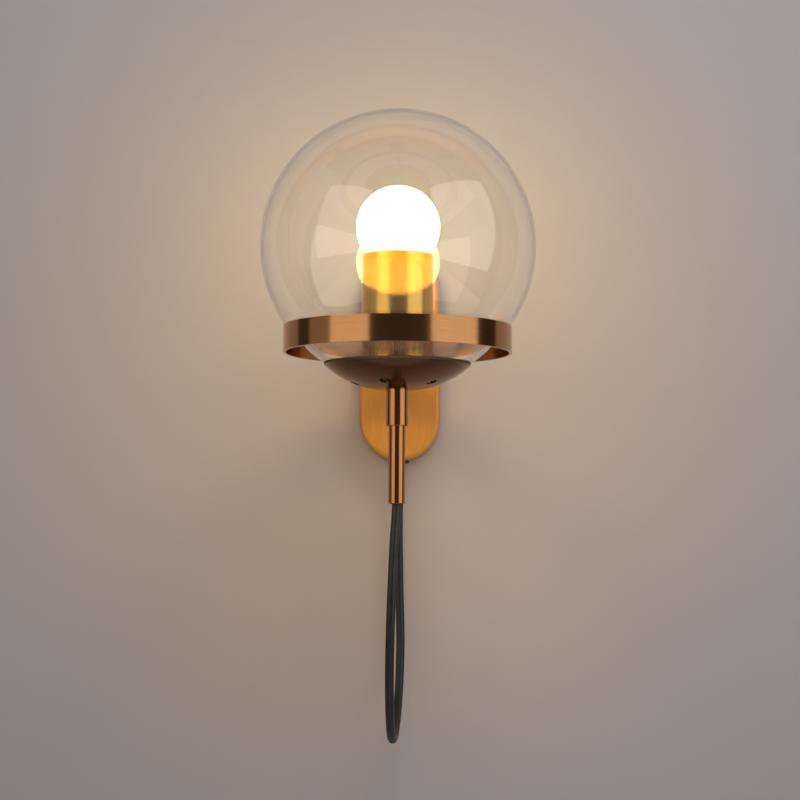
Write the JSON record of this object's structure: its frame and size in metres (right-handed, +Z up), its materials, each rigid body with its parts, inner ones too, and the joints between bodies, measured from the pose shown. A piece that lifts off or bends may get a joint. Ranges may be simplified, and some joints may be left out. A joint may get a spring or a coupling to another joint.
{
  "type": "globe wall sconce",
  "caption": "Wall light with a clear glass globe resting in a flat brass ring, a lit bulb in a brass cover, a dished vented cap, a slim stem and a looped black cord.",
  "frame": {"origin": "centre of the backplate on the wall plane, midway between the two wall slots", "axes": "+Z up, -Y out of the wall into the room, +X to the right as seen from the room"},
  "size_m": [0.2, 0.235, 0.4611],
  "materials": {
    "antique_brass": "brushed, antique lacquer",
    "brass_screw": "satin",
    "bare_brass": "bright",
    "clear_glass": "clear, polished",
    "black_rubber": "matt",
    "black_cord": "satin",
    "plated_steel": "zinc plated",
    "white_plastic": "matt",
    "black_plastic": "matt",
    "lit_diffuser": "frosted, lit warm white",
    "board_aluminium": "satin",
    "nickel_cap": "nickel plated",
    "brown_lead": "matt",
    "blue_lead": "matt",
    "green_lead": "green and yellow"
  },
  "bodies": {
    "wall_mount": {"wall_bracket": "plated_steel", "backplate": "antique_brass", "backplate_screws": "brass_screw", "arm": "antique_brass", "arm_washer": "plated_steel", "arm_nut": "plated_steel", "globe_ring": "antique_brass", "ring_screw": "brass_screw", "cord_grommet": "black_rubber", "cord_clamp_base": "white_plastic", "cord_clamp_bar": "white_plastic", "cord_clamp_screws": "plated_steel", "terminal_block": "white_plastic", "terminal_barrels": "bare_brass", "terminal_screws": "plated_steel", "terminal_block_screw": "plated_steel", "earth_screw": "bare_brass", "lead_live": "brown_lead", "lead_neutral": "blue_lead", "lead_earth": "green_lead", "cord_tail": "black_cord", "cord_loop": "black_cord"},
    "lamp": {"glass_globe": "clear_glass", "globe_gasket": "black_rubber", "glass_cup": "antique_brass", "stem_coupler": "antique_brass", "cord_tube": "antique_brass", "tube_bush": "black_rubber", "threaded_rod": "plated_steel", "lock_nut": "plated_steel", "globe_crossbar": "plated_steel", "crossbar_pads": "black_rubber", "socket_cover": "antique_brass", "lampholder_cap": "black_plastic", "lampholder_shell": "black_plastic", "lampholder_core": "black_plastic", "lampholder_thread": "bare_brass", "lampholder_contact": "bare_brass", "cord_stem_run": "black_cord"},
    "bulb_rise": {"bulb_tip_contact": "nickel_cap"},
    "bulb": {"bulb_diffuser": "lit_diffuser", "bulb_led_board": "board_aluminium", "bulb_housing": "white_plastic", "bulb_cap": "nickel_cap", "bulb_insulator": "black_plastic"}
  },
  "joints": [
    {"name": "globe_lift", "type": "slide", "parent": "wall_mount", "child": "lamp", "axis": [0, 0, 1], "range_m": [0, 0.13]},
    {"name": "bulb_rise", "type": "slide", "parent": "lamp", "child": "bulb_rise", "axis": [0, 0, 1], "range_m": [0, 0.0182]},
    {"name": "bulb_turn", "type": "hinge", "parent": "bulb_rise", "child": "bulb", "pos_m": [0, -0.135, 0.06817], "axis": [0, 0, 1], "range_deg": [0, 1800]}
  ],
  "couplings": [
    {"joint": "bulb_rise", "follows": "bulb_turn", "m_per_rad": 0.00057614}
  ]
}
